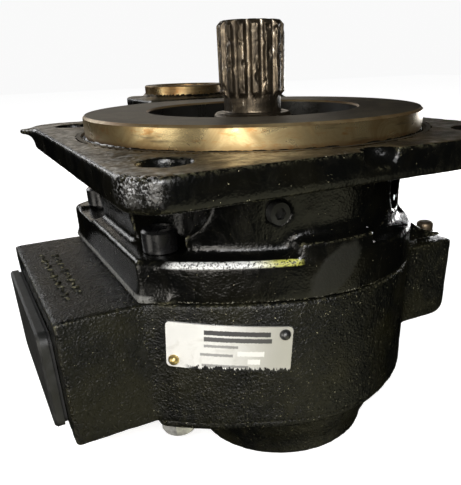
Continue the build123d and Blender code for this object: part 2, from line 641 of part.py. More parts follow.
def nameplate():
    """A thin plate bent to the casing, with its corners rounded and two rivet holes."""
    x, y, radius = nameplate_arc()
    shell = ring(x, y, PLATE_Z - 30, PLATE_Z + 30, radius + PLATE_THICKNESS, radius)
    width, height = PLATE_SIZE
    blank = Rot(0, 90, 0) * extrude(RectangleRounded(height, width, 1.6), 6, both=True)
    plate = shell & (on_plate_surface(0, PLATE_Z) * Rot(PLATE_TILT, 0, 0) * blank)
    for frame in rivet_frames():
        plate -= frame * Rot(0, 90, 0) * Cylinder(RIVET_STEM_R, 10)
    return plate


def rivet_frames():
    """Lower left and upper right rivet places, turned with the plate."""
    along, up = PLATE_SIZE[0] / 2 - 2.9, PLATE_SIZE[1] / 2 - 3.0
    tilt = radians(PLATE_TILT)
    across = along * cos(tilt) - up * sin(tilt)
    rise = along * sin(tilt) + up * cos(tilt)
    return [on_plate_surface(-across, PLATE_Z - rise), on_plate_surface(across, PLATE_Z + rise)]


def nameplate_rivet(frame):
    outer_half = Box(2 * RIVET_R, 5, 5, align=(Align.MIN, Align.CENTER, Align.CENTER))
    dome = Pos(PLATE_THICKNESS, 0, 0) * (Sphere(RIVET_R) & outer_half)
    return frame * (dome + rivet_stem())


def rivet_stem():
    """A rivet's shank, through the plate and into the casing."""
    base = (Align.CENTER, Align.CENTER, Align.MIN)
    return Pos(-2, 0, 0) * Rot(0, 90, 0) * Cylinder(RIVET_STEM_R, 2.2 + PLATE_THICKNESS, align=base)


# ---- Writing the parts -----------------------------------------------------
def build_all():
    parts = {
        "mounting_cover": mounting_cover(),
        "gear_housing": gear_housing(),
        "rear_cover": rear_cover(),
        "drive_gear_shaft": drive_gear_shaft(),
        "idler_gear_shaft": idler_gear_shaft(),
        "front_wear_plate": wear_plate(-62.0, JOINT_Z - 0.05, JOINT_Z - 0.05),
        "rear_wear_plate": wear_plate(REAR_JOINT_Z + 0.05, -98.0, REAR_JOINT_Z + 0.05),
        "front_pressure_seal": pressure_seal(JOINT_Z - 0.05),
        "rear_pressure_seal": pressure_seal(REAR_JOINT_Z + 0.05),
        "front_joint_seal": seal_band(JOINT_Z - JOINT_SEAL_DEPTH, JOINT_Z),
        "rear_joint_seal": seal_band(REAR_JOINT_Z, REAR_JOINT_Z + JOINT_SEAL_DEPTH),
        "shaft_seal_case": seal_case(),
        "shaft_seal_lip": seal_lip(),
        "seal_circlip": seal_circlip(),
        "front_dowels": dowels(JOINT_Z - 7, JOINT_Z + 7),
        "rear_dowels": dowels(REAR_JOINT_Z - 4.5, REAR_JOINT_Z + 6),
        "cover_screws": Compound(children=[cap_screw(x, y) for x, y in SCREW_PLACES]),
        "rear_nuts": Compound(children=[rear_nut(x, y) for x, y in SCREW_PLACES if x < 0]),
        "inlet_port_cover": inlet_port_cover(),
        "inlet_gasket": inlet_gasket(),
        "bleed_plug": bleed_plug(),
        "gallery_plug": gallery_plug(),
        "nameplate": nameplate(),
        "nameplate_rivet_brass": nameplate_rivet(rivet_frames()[0]),
        "nameplate_rivet_steel": nameplate_rivet(rivet_frames()[1]),
    }
    for axis, name in zip(SHAFT_AXES, ("drive", "idler")):
        parts[f"front_{name}_bush"] = bush(axis, JOINT_Z + 0.05, BUSH_TOP_Z)
        parts[f"rear_{name}_bush"] = bush(axis, REAR_BUSH_END_Z, REAR_JOINT_Z - 0.05)
    return parts


os.makedirs("parts", exist_ok=True)
for node, shape in build_all().items():
    export_step(shape, f"parts/{node}.step")
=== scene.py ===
import json
from math import atan2, cos, pi, radians, sin, sqrt

import bmesh
import bpy
import numpy as np
from mathutils import Matrix, Vector, noise


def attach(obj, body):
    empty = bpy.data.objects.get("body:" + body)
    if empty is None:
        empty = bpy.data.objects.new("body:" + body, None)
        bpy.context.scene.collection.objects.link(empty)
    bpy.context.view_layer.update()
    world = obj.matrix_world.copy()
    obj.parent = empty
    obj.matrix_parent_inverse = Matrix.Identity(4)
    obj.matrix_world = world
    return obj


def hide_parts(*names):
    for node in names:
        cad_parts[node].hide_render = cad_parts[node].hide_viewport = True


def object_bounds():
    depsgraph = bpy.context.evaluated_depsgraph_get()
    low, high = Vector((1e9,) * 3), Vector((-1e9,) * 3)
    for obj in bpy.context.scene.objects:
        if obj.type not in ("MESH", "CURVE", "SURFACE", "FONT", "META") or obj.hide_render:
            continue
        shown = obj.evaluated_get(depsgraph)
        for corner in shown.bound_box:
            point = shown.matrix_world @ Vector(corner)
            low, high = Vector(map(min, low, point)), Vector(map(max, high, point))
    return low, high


# Hydraulic gear pump, standing with its shaft up on a pale floor.
# Metres, in the frame's own axes: the shaft is on Z, the mounting face at Z 0.
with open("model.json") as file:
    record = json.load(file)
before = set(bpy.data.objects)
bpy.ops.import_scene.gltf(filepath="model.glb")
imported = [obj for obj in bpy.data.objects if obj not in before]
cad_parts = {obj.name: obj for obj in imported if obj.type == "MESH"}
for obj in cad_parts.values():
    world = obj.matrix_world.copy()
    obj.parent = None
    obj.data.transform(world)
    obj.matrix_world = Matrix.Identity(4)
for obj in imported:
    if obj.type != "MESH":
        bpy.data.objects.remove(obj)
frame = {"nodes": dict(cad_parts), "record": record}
cad_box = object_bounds()
nodes = frame["nodes"]
MM = 0.001

# Turned faces on the mounting cover, in millimetres
FACE_R = 65.1
FACE_Z = 0.0
PILOT_R = 63.5
PILOT_TOP = 7.0
UNDERCUT_Z = -0.8
RECESS_R = 40.0
RECESS_Z = 0.5
SHAFT_WELL_R = 24.0
SHAFT_WELL_Z = -12.0
COLLAR = (14.0, 104.0)
COLLAR_R = 21.5
COLLAR_TOP = 12.5
COLLAR_RIM_R = 16.5
COLLAR_SEAT_Z = 7.0
PORT_R = 11.0
PORT_END_Z = -30.0
# The cast skin is sunk this far under the turned faces
SUNK_DEPTH = 1.3

# Joint between the mounting cover and the gear housing
JOINT_Z = -54.0
JOINT_RIM_TOP = -38.5

# The drive shaft above this level is remeshed, and its teeth start at TEETH_FOOT_Z
SHAFT_SPLIT_Z = -20.0
TEETH_FOOT_Z = 11.2
TEETH_FOOT_R = 10.8
WORN_SKIN = 0.06
SHAFT_VOXEL = 0.34

# Castings: voxel size in millimetres, fillet steps, edge steps and lump height
COVER_GRID = (1.2, 16, 2, 0.6)
HOUSING_GRID = (1.12, 18, 2, 0.9)
REAR_GRID = (1.2, 24, 3, 0.9)

# The nameplate: three plan points of its bend, its middle and its tilt in degrees
PLATE_ARC = [(-59.0, -21.0), (-37.5, -37.0), (-14.0, -48.6)]
PLATE_MIDDLE = (-33.7, -39.2)
PLATE_Z = -71.0
PLATE_TILT = -4.0
# Printed bars (left, right, low, high, strength) and blank boxes on the plate, from its middle
PLATE_BARS = [(-9, 15, 5.2, 7.1, 0.95), (-9, 15.5, 2.6, 4.4, 0.9), (-9, 3.4, 0.2, 1.3, 0.6)]
PLATE_BARS += [(-10.4, 1.6, -3.4, -2.3, 0.6), (-9.8, 7.4, -7.9, -6.8, 0.6)]
PLATE_BOXES = [(3.2, 13, -2.9, -0.9), (7.0, 11.6, -6.2, -4.1)]
BOX_STRENGTH = 0.85
PAINTED_FOOT_RISE = -9.0

# Rows of raised strokes on the left block: x, first y and count
MARK_ROWS = [(-80.8, -2.0, 14), (-75.6, 3.0, 12)]
MARK_PITCH = 4.4
MARK_SIZE = (2.8, 0.8, 1.3)
MARK_BEVEL = 0.22

# Colours, linear
BLACK_PAINT = (0.0022, 0.0024, 0.0022)
OLIVE_PAINT = (0.0068, 0.0065, 0.0034)
COVER_BLACK = (0.0016, 0.0017, 0.0016)
COVER_OLIVE = (0.0034, 0.0032, 0.0022)
PALE_GLINT_PAINT = (0.34, 0.32, 0.21)
WORN_EDGE = (0.15, 0.142, 0.085)
OIL_LIGHT = (0.050, 0.037, 0.019)
OIL_DARK = (0.018, 0.014, 0.009)
GREY_SCUFF = (0.21, 0.205, 0.19)
GREY_SPECKLE = (0.2, 0.19, 0.165)
SMUDGE = (0.0105, 0.0105, 0.0085)
RIM_HIGHLIGHT_WHITE = (0.62, 0.63, 0.63)
RIM_HIGHLIGHT_YELLOW = (0.36, 0.36, 0.08)
CORNER_PAINTED_GLINT = (0.30, 0.30, 0.31)
SEAM_GLINT_PAINT = (0.30, 0.29, 0.24)
FOOT_GREY = (0.12, 0.12, 0.115)
GOLD_FILM = (0.38, 0.30, 0.155)
BROWN_FILM = (0.22, 0.155, 0.07)
RUST = (0.26, 0.105, 0.02)
DARK_STREAK = (0.05, 0.038, 0.025)
STAINED_RIM = (0.15, 0.072, 0.025)
PILOT_RIGHT_SHADE = (0.05, 0.034, 0.015)
GRIME_LIGHT = (0.044, 0.036, 0.023)
GRIME_DARK = (0.014, 0.011, 0.007)
GRIME_SPECK = (0.13, 0.12, 0.1)
RECESS_BLACK = (0.006, 0.0055, 0.0045)
BARE_SCUFF = (0.42, 0.38, 0.32)
OIL_BLACK = (0.02, 0.016, 0.012)
PLATE_PAINTED_LIT = (0.80, 0.80, 0.78)
PLATE_PAINTED_SHADE = (0.40, 0.395, 0.36)
PLATE_STAIN = (0.45, 0.44, 0.40)
PRINT_INK = (0.035, 0.035, 0.038)
BLANK_WHITE = (0.86, 0.86, 0.84)
FOOT_PAINT = (0.004, 0.004, 0.004)
SCREW_BLACK = (0.012, 0.012, 0.0125)
SCREW_SHADE = (0.004, 0.004, 0.0042)


def circle_through(a, b, c):
    """Centre and radius of the circle through three plan points."""
    d = 2 * (a[0] * (b[1] - c[1]) + b[0] * (c[1] - a[1]) + c[0] * (a[1] - b[1]))
    sq = [p[0] ** 2 + p[1] ** 2 for p in (a, b, c)]
    x = (sq[0] * (b[1] - c[1]) + sq[1] * (c[1] - a[1]) + sq[2] * (a[1] - b[1])) / d
    y = (sq[0] * (c[0] - b[0]) + sq[1] * (a[0] - c[0]) + sq[2] * (b[0] - a[0])) / d
    return x, y, sqrt((a[0] - x) ** 2 + (a[1] - y) ** 2)


# ---- Materials -------------------------------------------------------------
class Look:
    """A material built from a few node calls. Lengths in it are millimetres."""

    def __init__(self, name):
        self.material = bpy.data.materials.new(name)
        self.material.use_nodes = True
        self.tree = self.material.node_tree
        self.shader = self.tree.nodes["Principled BSDF"]
        coordinates = self.tree.nodes.new("ShaderNodeTexCoord").outputs["Object"]
        self.place = self.scaled(coordinates, (1000, 1000, 1000))
        self.x, self.y, self.z = self.split(self.place)

    def node(self, kind, links, output=0, **settings):
        """Adds a node, sets or links its inputs and returns one output."""
        n = self.tree.nodes.new(kind)
        for key, value in settings.items():
            setattr(n, key, value)
        for key, value in links.items():
            if isinstance(value, bpy.types.NodeSocket):
                self.tree.links.new(value, n.inputs[key])
            else:
                n.inputs[key].default_value = value
        return n.outputs[output]

    def scaled(self, vector, factors):
        """A vector stretched along its axes."""
        return self.node("ShaderNodeVectorMath", {0: vector, 1: factors}, operation="MULTIPLY")

    def split(self, vector):
        """The three coordinates of a vector."""
        return tuple(self.node("ShaderNodeSeparateXYZ", {0: vector}).node.outputs)

    def math(self, operation, a, b=0.0, c=0.0):
        return self.node("ShaderNodeMath", {0: a, 1: b, 2: c}, operation=operation)

    def noise(self, grain, detail=4.0, rough=0.55, stretch=None, warp=0.0, place=None):
        """Noise from 0 to 1 whose lumps are about one grain wide."""
        place = self.place if place is None else place
        if stretch:
            place = self.scaled(place, stretch)
        links = {"Vector": place, "Scale": 1 / grain, "Detail": detail}
        links |= {"Roughness": rough, "Distortion": warp}
        return self.node("ShaderNodeTexNoise", links)

    def cells(self, grain):
        """Distance from the nearest of many scattered points."""
        return self.node("ShaderNodeTexVoronoi", {"Vector": self.place, "Scale": 1 / grain})

    def band(self, value, low, high, to_low=0.0, to_high=1.0):
        """Maps low..high smoothly to to_low..to_high and holds the ends."""
        links = {0: value, 1: low, 2: high, 3: to_low, 4: to_high}
        return self.node("ShaderNodeMapRange", links, interpolation_type="SMOOTHSTEP")

    def mix(self, share, a, b):
        """Mixes two colours."""
        n = self.tree.nodes.new("ShaderNodeMix")
        n.data_type = "RGBA"
        for index, value in ((0, share), (6, a), (7, b)):
            if isinstance(value, bpy.types.NodeSocket):
                self.tree.links.new(value, n.inputs[index])
            else:
                n.inputs[index].default_value = value if index == 0 else (*value, 1)
        return n.outputs[2]

    def both(self, a, b):
        """Product of two numbers: where both masks hold."""
        return self.math("MULTIPLY", a, b)

    def either(self, a, b):
        """The larger of two masks."""
        return self.math("MAXIMUM", a, b)

    def blend(self, share, a, b):
        """Mixes two numbers."""
        return self.node("ShaderNodeMix", {0: share, 2: a, 3: b})

    def radius(self):
        """Distance from the vertical axis."""
        return self.math("SQRT", self.math("ADD", self.both(self.x, self.x), self.both(self.y, self.y)))

    def offset(self, value, origin, scale):
        """A coordinate measured from an origin, in units of a scale."""
        return self.math("MULTIPLY", self.math("SUBTRACT", value, origin), 1 / scale)

    def up(self):
        """How far the surface faces up, from -1 to 1."""
        normal = self.tree.nodes.new("ShaderNodeNewGeometry").outputs["True Normal"]
        return self.split(normal)[2]

    def bump(self, layers):
        """Stacks (height, depth in millimetres) layers into the normal."""
        normal = None
        for height, depth in layers:
            links = {"Height": height, "Strength": 1.0, "Distance": depth * MM}
            if normal is not None:
                links["Normal"] = normal
            normal = self.node("ShaderNodeBump", links)
        self.set(Normal=normal)

    def set(self, **values):
        """Sets or links sockets of the shader, with _ for a space in their names."""
        for key, value in values.items():
            socket = self.shader.inputs[key.replace("_", " ")]
            if isinstance(value, bpy.types.NodeSocket):
                self.tree.links.new(value, socket)
            else:
                socket.default_value = (*value, 1) if isinstance(value, tuple) else value
        return self


def cast_enamel(name, cast_depth, black, olive, sparkle, gloss):
    """Oily black enamel over sand-cast iron. Also returns its colour and roughness."""
    m = Look(name)
    blotches = m.noise(26, 5, 0.6, warp=0.6)
    smears = m.noise(9, 5, 0.65, stretch=(1, 1, 0.55), warp=1.2)
    sand = m.noise(1.1, 3, 0.6)
    grains = m.cells(0.9)
    pits = m.noise(3.2, 4, 0.6)
    base = m.mix(m.band(blotches, 0.42, 0.66), black, olive)
    base = m.mix(m.both(m.band(smears, 0.55, 0.72), 0.5), base, tuple(1.9 * c for c in olive))
    # Painted glints: pale specks painted into the colour, which are also made glossy
    glint_specks = m.band(m.noise(0.6, 2, 0.5), 0.72 - sparkle, 0.76 - sparkle)
    base = m.mix(glint_specks, base, PALE_GLINT_PAINT)
    edge = m.node("ShaderNodeNewGeometry", {}, "Pointiness")
    worn = m.both(m.band(edge, 0.52, 0.58), m.band(m.noise(1.3, 4, 0.7), 0.45, 0.62))
    base = m.mix(m.both(worn, 0.8), base, WORN_EDGE)
    shine = m.blend(glint_specks, m.band(smears, 0.35, 0.7, gloss, gloss + 0.14), 0.15)
    m.bump([(pits, 0.4 * cast_depth), (sand, 0.42 * cast_depth), (grains, 0.2 * cast_depth)])
    m.set(Base_Color=base, Roughness=shine, Specular_IOR_Level=0.24)
    return m, base, shine


def cover_smudge(m):
    """Mask of the dull oval smudge on the front of the joint flange."""
    across = m.offset(m.x, 3.0, 8.5)
    above = m.offset(m.z, -45.0, 9.5)
    slanted = m.math("MULTIPLY_ADD", above, -0.7, across)
    ragged = m.math("MULTIPLY_ADD", m.noise(7, 4, 0.6), 1.2, m.both(slanted, slanted))
    oval = m.math("ADD", ragged, m.both(above, m.both(above, 0.7)))
    return m.both(m.band(oval, 1.7, 1.2), m.band(m.y, -38.0, -40.0))


def cover_enamel(name):
    """The cover's enamel: rubbed to grey scuffs and brown oil on top of the flange."""
    m, base, shine = cast_enamel(name, 0.25, COVER_BLACK, COVER_OLIVE, -0.02, 0.14)
    top = m.both(m.band(m.up(), 0.75, 0.93), m.band(m.z, -3.0, -1.2))
    oil = m.mix(m.band(m.noise(16, 5, 0.6, warp=1.0), 0.4, 0.62), OIL_LIGHT, OIL_DARK)
    base = m.mix(m.both(top, 0.9), base, oil)
    scuffed = m.both(top, m.band(m.x, -52.0, -70.0))
    scuffs = m.both(m.band(m.noise(2.6, 6, 0.7, warp=1.0), 0.46, 0.6), scuffed)
    base = m.mix(scuffs, base, GREY_SCUFF)
    speckle = m.both(m.band(m.noise(0.8, 3, 0.6), 0.62, 0.7), m.both(top, 0.7))
    base = m.mix(speckle, base, GREY_SPECKLE)
    smudge = cover_smudge(m)
    base = m.mix(smudge, base, SMUDGE)
    # Painted highlight: a bright gritty line painted along the front left of the joint flange, going yellow
    # to the right
    rim = m.both(m.band(m.z, -41.0, -40.3), m.band(m.z, JOINT_RIM_TOP + 0.05, JOINT_RIM_TOP - 0.25))
    rim = m.both(rim, m.both(m.band(m.y, -26.0, -30.0), m.band(m.x, -8.0, -10.5)))
    rim_highlight_grain = m.band(m.noise(0.7, 3, 0.7), 0.36, 0.56)
    rim_highlight_colour = m.mix(m.band(m.x, -27.0, -15.0), RIM_HIGHLIGHT_WHITE, RIM_HIGHLIGHT_YELLOW)
    base = m.mix(m.both(rim, rim_highlight_grain), base, rim_highlight_colour)
    # Painted glint: pale sparkle painted on the flange's front left corner
    corner = m.both(m.band(m.x, -62.0, -72.0), m.band(m.y, -62.0, -72.0))
    corner = m.both(corner, m.band(m.z, -9.0, -2.5))
    base = m.mix(m.both(corner, m.band(m.noise(0.9, 4, 0.7), 0.5, 0.66)), base, CORNER_PAINTED_GLINT)
    # Painted glints: pale specks along the joint. Grey patches at the left foot of the cover
    seam = m.both(m.band(m.z, JOINT_Z + 1.3, JOINT_Z + 0.7), m.band(m.noise(0.8, 3, 0.7), 0.56, 0.64))
    base = m.mix(m.both(seam, 0.8), base, SEAM_GLINT_PAINT)
    foot = m.both(m.band(m.z, JOINT_Z + 3.4, JOINT_Z + 2.4), m.band(m.x, -54.0, -57.0))
    base = m.mix(m.both(foot, m.band(m.noise(2.0, 4, 0.6), 0.3, 0.5)), base, FOOT_GREY)
    rough = m.blend(top, shine, m.band(m.noise(5, 5, 0.65), 0.35, 0.65, 0.28, 0.5))
    rough = m.blend(smudge, rough, 0.5)
    return m.set(Base_Color=base, Roughness=rough)


def bronze_band(name):
    """Turned iron with a golden oil film, rust stains and a fine lathe finish."""
    m = Look(name)
    angle = m.math("ARCTAN2", m.y, m.x)
    unrolled = m.math("MULTIPLY", angle, 60.0)
    around = m.node("ShaderNodeCombineXYZ", {0: unrolled, 1: m.z, 2: m.radius()})
    streaks = m.noise(5, 5, 0.6, stretch=(0.25, 2.5, 1.0), place=around)
    patches = m.noise(13, 5, 0.62, warp=1.0)
    rust = m.noise(3.4, 6, 0.7, stretch=(0.5, 1.6, 1.0), place=around)
    rims = m.either(m.band(m.z, 1.6, 0.4), m.band(m.z, 5.6, 6.6))
    grooves = {"Vector": m.scaled(around, (0.02, 6, 6)), "Scale": 1.0, "Detail": 2.0}
    lathe_marks = m.node("ShaderNodeTexNoise", grooves)
    base = m.mix(m.band(patches, 0.35, 0.65), GOLD_FILM, BROWN_FILM)
    base = m.mix(m.both(m.band(rust, 0.54, 0.68), 0.65), base, RUST)
    base = m.mix(m.both(m.band(streaks, 0.56, 0.72), 0.7), base, DARK_STREAK)
    base = m.mix(m.both(rims, m.band(streaks, 0.3, 0.6, 0.05, 0.6)), base, STAINED_RIM)
    # Painted shade: the band is darkened on its right side, from x 30 to 58 mm
    base = m.mix(m.both(m.band(m.x, 30.0, 58.0), 0.75), base, PILOT_RIGHT_SHADE)
    top = m.band(m.up(), 0.6, 0.9)
    grime = m.mix(m.band(patches, 0.4, 0.62), GRIME_LIGHT, GRIME_DARK)
    grime = m.mix(m.band(m.noise(0.9, 3, 0.6), 0.62, 0.72), grime, GRIME_SPECK)
    base = m.mix(top, base, grime)
    inside = m.band(m.radius(), RECESS_R + 0.5, RECESS_R + 0.1)
    recess = m.both(inside, m.band(m.z, PILOT_TOP - 0.3, PILOT_TOP - 0.9))
    base = m.mix(recess, base, RECESS_BLACK)
    rough = m.blend(top, m.band(patches, 0.3, 0.7, 0.24, 0.40), 0.5)
    metal = m.both(m.blend(top, 0.9, 0.3), m.math("SUBTRACT", 1.0, recess))
    m.bump([(patches, 0.05), (lathe_marks, 0.02)])
    return m.set(Base_Color=base, Roughness=rough, Metallic=metal)


def oily_steel(name, light, dark, roughness):
    """Hardened steel, scuffed, with patches of brown oil."""
    m = Look(name)
    scuffs = m.noise(1.6, 6, 0.7, stretch=(1, 1, 0.3), warp=0.8)
    oil = m.noise(6, 5, 0.6, warp=1.0)
    grain = m.noise(0.4, 3, 0.6, stretch=(1, 1, 0.2))
    base = m.mix(m.band(oil, 0.36, 0.62), light, dark)
    base = m.mix(m.band(scuffs, 0.60, 0.72), base, BARE_SCUFF)
    base = m.mix(m.band(scuffs, 0.42, 0.34), base, OIL_BLACK)
    m.bump([(scuffs, 0.12), (grain, 0.03)])
    rough = m.band(oil, 0.3, 0.7, roughness - 0.08, roughness + 0.12)
    return m.set(Base_Color=base, Roughness=rough, Metallic=0.85)


def plain_metal(name, colour, dark, roughness, metallic=0.9):
    """Clouded metal with a fine grain."""
    m = Look(name)
    cloud = m.noise(5, 5, 0.6, warp=0.5)
    grain = m.noise(0.5, 3, 0.6)
    base = m.mix(m.band(cloud, 0.35, 0.7), colour, dark)
    m.bump([(cloud, 0.05), (grain, 0.02)])
    rough = m.band(cloud, 0.3, 0.7, roughness, roughness + 0.15)
    return m.set(Base_Color=base, Roughness=rough, Metallic=metallic)


def soft_black(name, colour, roughness):
    """Clouded black plastic or rubber."""
    m = Look(name)
    cloud = m.noise(8, 5, 0.6, warp=0.5)
    grain = m.noise(0.8, 4, 0.6)
    base = m.mix(m.band(cloud, 0.4, 0.7), colour, tuple(c * 1.8 + 0.004 for c in colour))
    m.bump([(cloud, 0.1), (grain, 0.04)])
    return m.set(Base_Color=base, Roughness=m.band(cloud, 0.3, 0.7, roughness, roughness + 0.15))


def plate_face(name):
    """Bright plate printed with plain bars and blank boxes, with black paint along its foot."""
    m = Look(name)
    x, y, radius = circle_through(*PLATE_ARC)
    angle = m.math("ARCTAN2", m.math("SUBTRACT", m.y, y), m.math("SUBTRACT", m.x, x))
    middle = atan2(PLATE_MIDDLE[1] - y, PLATE_MIDDLE[0] - x)
    along = m.math("MULTIPLY", m.math("SUBTRACT", angle, middle), radius)
    rise = m.math("SUBTRACT", m.z, PLATE_Z)
    lean = sin(radians(PLATE_TILT))
    across = m.math("MULTIPLY_ADD", rise, lean, along)
    height = m.math("MULTIPLY_ADD", along, -lean, rise)
    wobble = m.noise(0.7, 2, 0.5)
    print_height = m.math("ADD", height, m.math("MULTIPLY_ADD", wobble, 0.5, -0.25))

    def between(value, low, high, soft=0.12):
        return m.both(m.band(value, low - soft, low + soft), m.band(value, high + soft, high - soft))

    def mark(left, right, low, high):
        return m.both(between(across, left, right), between(print_height, low, high))

    cloud = m.noise(7, 5, 0.6, warp=0.6)
    grain = m.noise(0.35, 3, 0.6, stretch=(1, 1, 0.25))
    # Painted light and shade: the plate is lit at its left end and shaded towards its right end
    base = m.mix(m.band(across, -8.0, 21.0), PLATE_PAINTED_LIT, PLATE_PAINTED_SHADE)
    base = m.mix(m.both(m.band(cloud, 0.5, 0.75), 0.5), base, PLATE_STAIN)
    for left, right, low, high, strength in PLATE_BARS:
        base = m.mix(m.both(mark(left, right, low, high), strength), base, PRINT_INK)
    for left, right, low, high in PLATE_BOXES:
        base = m.mix(m.both(mark(left, right, low, high), BOX_STRENGTH), base, BLANK_WHITE)
    ragged = m.band(m.noise(1.5, 4, 0.7, stretch=(1, 1, 0.35)), 0.36, 0.62)
    edge = m.math("MULTIPLY_ADD", ragged, -1.7, m.math("SUBTRACT", height, PAINTED_FOOT_RISE))
    painted = m.both(m.band(edge, 0.25, -0.25), m.band(across, -17.0, -13.0))
    base = m.mix(painted, base, FOOT_PAINT)
    m.bump([(cloud, 0.05), (grain, 0.02), (painted, 0.08)])
    metal = m.both(m.math("SUBTRACT", 1.0, painted), 0.35)
    return m.set(Base_Color=base, Roughness=m.band(cloud, 0.3, 0.7, 0.28, 0.42), Metallic=metal)


# ---- Camera, floor and lights ----------------------------------------------
# Place in metres, angles in radians, lens in millimetres
CAMERA_PLACE = (-0.10489, -0.19496, 0.02306)
CAMERA_TURN, CAMERA_TILT, CAMERA_ROLL = 0.4932, 0.4379, -0.0282
CAMERA_LENS = 39.81
CAMERA_SHIFT = (-0.0571, 0.1435)

WARM = (1.0, 0.95, 0.87)
CREAM = (1.0, 0.96, 0.88)
AMBER = (1.0, 0.91, 0.78)
OLIVE_GLOW = (1.0, 0.97, 0.66)
WHITE = (1.0, 1.0, 1.0)
# Name, place, aim, size, watts and colour. The key, low on the left, makes the pilot's glare
LIGHTS = [
    ("key", (-0.42, -0.50, 0.02), (-0.03, -0.03, -0.01), (0.22, 0.34), 2.6, WARM),
    ("flash", (-0.17, -0.27, 0.10), (0, 0, -0.04), (0.05, 0.05), 0.42, WHITE),
    ("front_top", (-0.20, -0.62, 0.30), (0, 0, -0.04), (0.34, 0.42), 3.0, WHITE),
    ("left_card", (-0.68, -0.02, -0.04), (0, 0, -0.02), (0.34, 0.40), 1.5, CREAM),
    ("back", (0.30, 0.95, 0.22), (0, 0, 0), (0.7, 0.25), 0.6, AMBER),
    ("under_glow", (0.10, -0.42, -0.46), (0.0, 0, -0.12), (0.6, 0.5), 0.9, OLIVE_GLOW),
    ("rear_fill", (-0.45, 0.85, 0.35), (0, 0.03, -0.05), (0.5, 0.4), 3.0, WHITE),
    ("right_fill", (0.75, 0.42, -0.08), (0.05, 0.03, -0.06), (0.4, 0.2), 2.2, WHITE),
    ("floor_wash", (0.0, 0.0, 1.6), (0, 0, -0.139), (2.4, 2.4), 12, WHITE),
]
FLOOR_REACH = 4.0
FLOOR_COLOUR = (0.8, 0.8, 0.8)
# The floor's own glow: inner and outer radius in millimetres, and its strength at each
FLOOR_GLOW = (150, 900, 0.62, 0.97)
WORLD_STRENGTH = 0.95


def link(name, data):
    """A new object in the scene."""
    thing = bpy.data.objects.new(name, data)
    bpy.context.scene.collection.objects.link(thing)
    return thing


def add_camera():
    """Low, in front and to the left, looking down on the mounting flange."""
    turn, tilt, roll = CAMERA_TURN, CAMERA_TILT, CAMERA_ROLL
    back = Vector((-sin(turn) * cos(tilt), -cos(turn) * cos(tilt), sin(tilt)))
    side = Vector((cos(turn), -sin(turn), 0))
    above = back.cross(side)
    right = side * cos(roll) + above * sin(roll)
    upward = above * cos(roll) - side * sin(roll)
    data = bpy.data.cameras.new("camera")
    data.sensor_width = 36
    data.lens = CAMERA_LENS
    data.shift_x, data.shift_y = CAMERA_SHIFT
    data.clip_start = 0.01
    camera = link("camera", data)
    rotation = Matrix((right, upward, back)).transposed()
    camera.matrix_world = Matrix.Translation(CAMERA_PLACE) @ rotation.to_4x4()
    bpy.context.scene.camera = camera


def add_light(name, place, aim, size, power, colour):
    data = bpy.data.lights.new(name, "AREA")
    data.shape = "RECTANGLE"
    data.size, data.size_y = size
    data.energy = power
    data.color = colour
    light = link(name, data)
    light.location = place
    direction = Vector(aim) - Vector(place)
    light.rotation_euler = direction.to_track_quat("-Z", "Y").to_euler()
    return light


def add_stage():
    """A pale glowing floor and a white world, both kept out of the reflections."""
    low = cad_box[0][2]
    corners = [(x * FLOOR_REACH, y * FLOOR_REACH, low) for x, y in ((-1, -1), (1, -1), (1, 1), (-1, 1))]
    mesh = bpy.data.meshes.new("floor")
    mesh.from_pydata(corners, [], [(0, 1, 2, 3)])
    floor = link("floor", mesh)
    pale = Look("pale_floor")
    glow = pale.band(pale.radius(), *FLOOR_GLOW)
    pale.set(Base_Color=FLOOR_COLOUR, Roughness=0.9, Specular_IOR_Level=0.1)
    pale.set(Emission_Color=WHITE, Emission_Strength=glow)
    mesh.materials.append(pale.material)
    floor.visible_glossy = False
    floor.visible_diffuse = False
    floor.visible_shadow = False
    world = bpy.data.worlds.new("world")
    bpy.context.scene.world = world
    world.use_nodes = True
    background = world.node_tree.nodes["Background"]
    background.inputs["Color"].default_value = (*WHITE, 1)
    background.inputs["Strength"].default_value = WORLD_STRENGTH
    world.cycles_visibility.glossy = False
    world.cycles_visibility.diffuse = False
    bpy.context.scene.view_settings.view_transform = "Standard"


# ---- Pieces ----------------------------------------------------------------
def use(piece, look):
    """Gives a piece one material."""
    piece.data.materials.clear()
    piece.data.materials.append(look.material)


def neighbour_mean(edges, points):
    """The mean of each point's neighbours along the edges."""
    total = np.zeros_like(points)
    count = np.zeros(len(points))
    for a, b in ((0, 1), (1, 0)):
        np.add.at(total, edges[:, a], points[edges[:, b]])
        np.add.at(count, edges[:, a], 1)
    return total / count[:, None]


def remeshed(mesh, name, voxel):
    """The mesh rebuilt on a fine grid, as a new mesh."""
    holder = link(name + "_holder", mesh)
    remesh = holder.modifiers.new("remesh", "REMESH")
    remesh.mode = "VOXEL"
    remesh.voxel_size = voxel * MM
    remesh.use_smooth_shade = True
    graph = bpy.context.evaluated_depsgraph_get()
    result = bpy.data.meshes.new_from_object(holder.evaluated_get(graph))
    result.name = name
    bpy.data.objects.remove(holder)
    return result


def vertex_points(mesh):
    points = np.empty(len(mesh.vertices) * 3)
    mesh.vertices.foreach_get("co", points)
    return points.reshape(-1, 3)


def vertex_normals(mesh):
    normals = np.empty(len(mesh.vertices) * 3)
    mesh.vertex_normals.foreach_get("vector", normals)
    return normals.reshape(-1, 3)


def move_points(mesh, points):
    mesh.vertices.foreach_set("co", points.ravel())
    mesh.update()


def edge_pairs(mesh):
    edges = np.empty(len(mesh.edges) * 2, int)
    mesh.edges.foreach_get("vertices", edges)
    return edges.reshape(-1, 2)


def joined_bmesh(mesh):
    """An editable copy of a mesh whose doubled points are merged."""
    work = bmesh.new()
    work.from_mesh(mesh)
    bmesh.ops.remove_doubles(work, verts=work.verts, dist=1e-6)
    return work


def new_mesh(name, work):
    """A mesh made from an editable one, which is freed."""
    mesh = bpy.data.meshes.new(name)
    work.to_mesh(mesh)
    work.free()
    return mesh


def ride(piece, body):
    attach(piece, body)


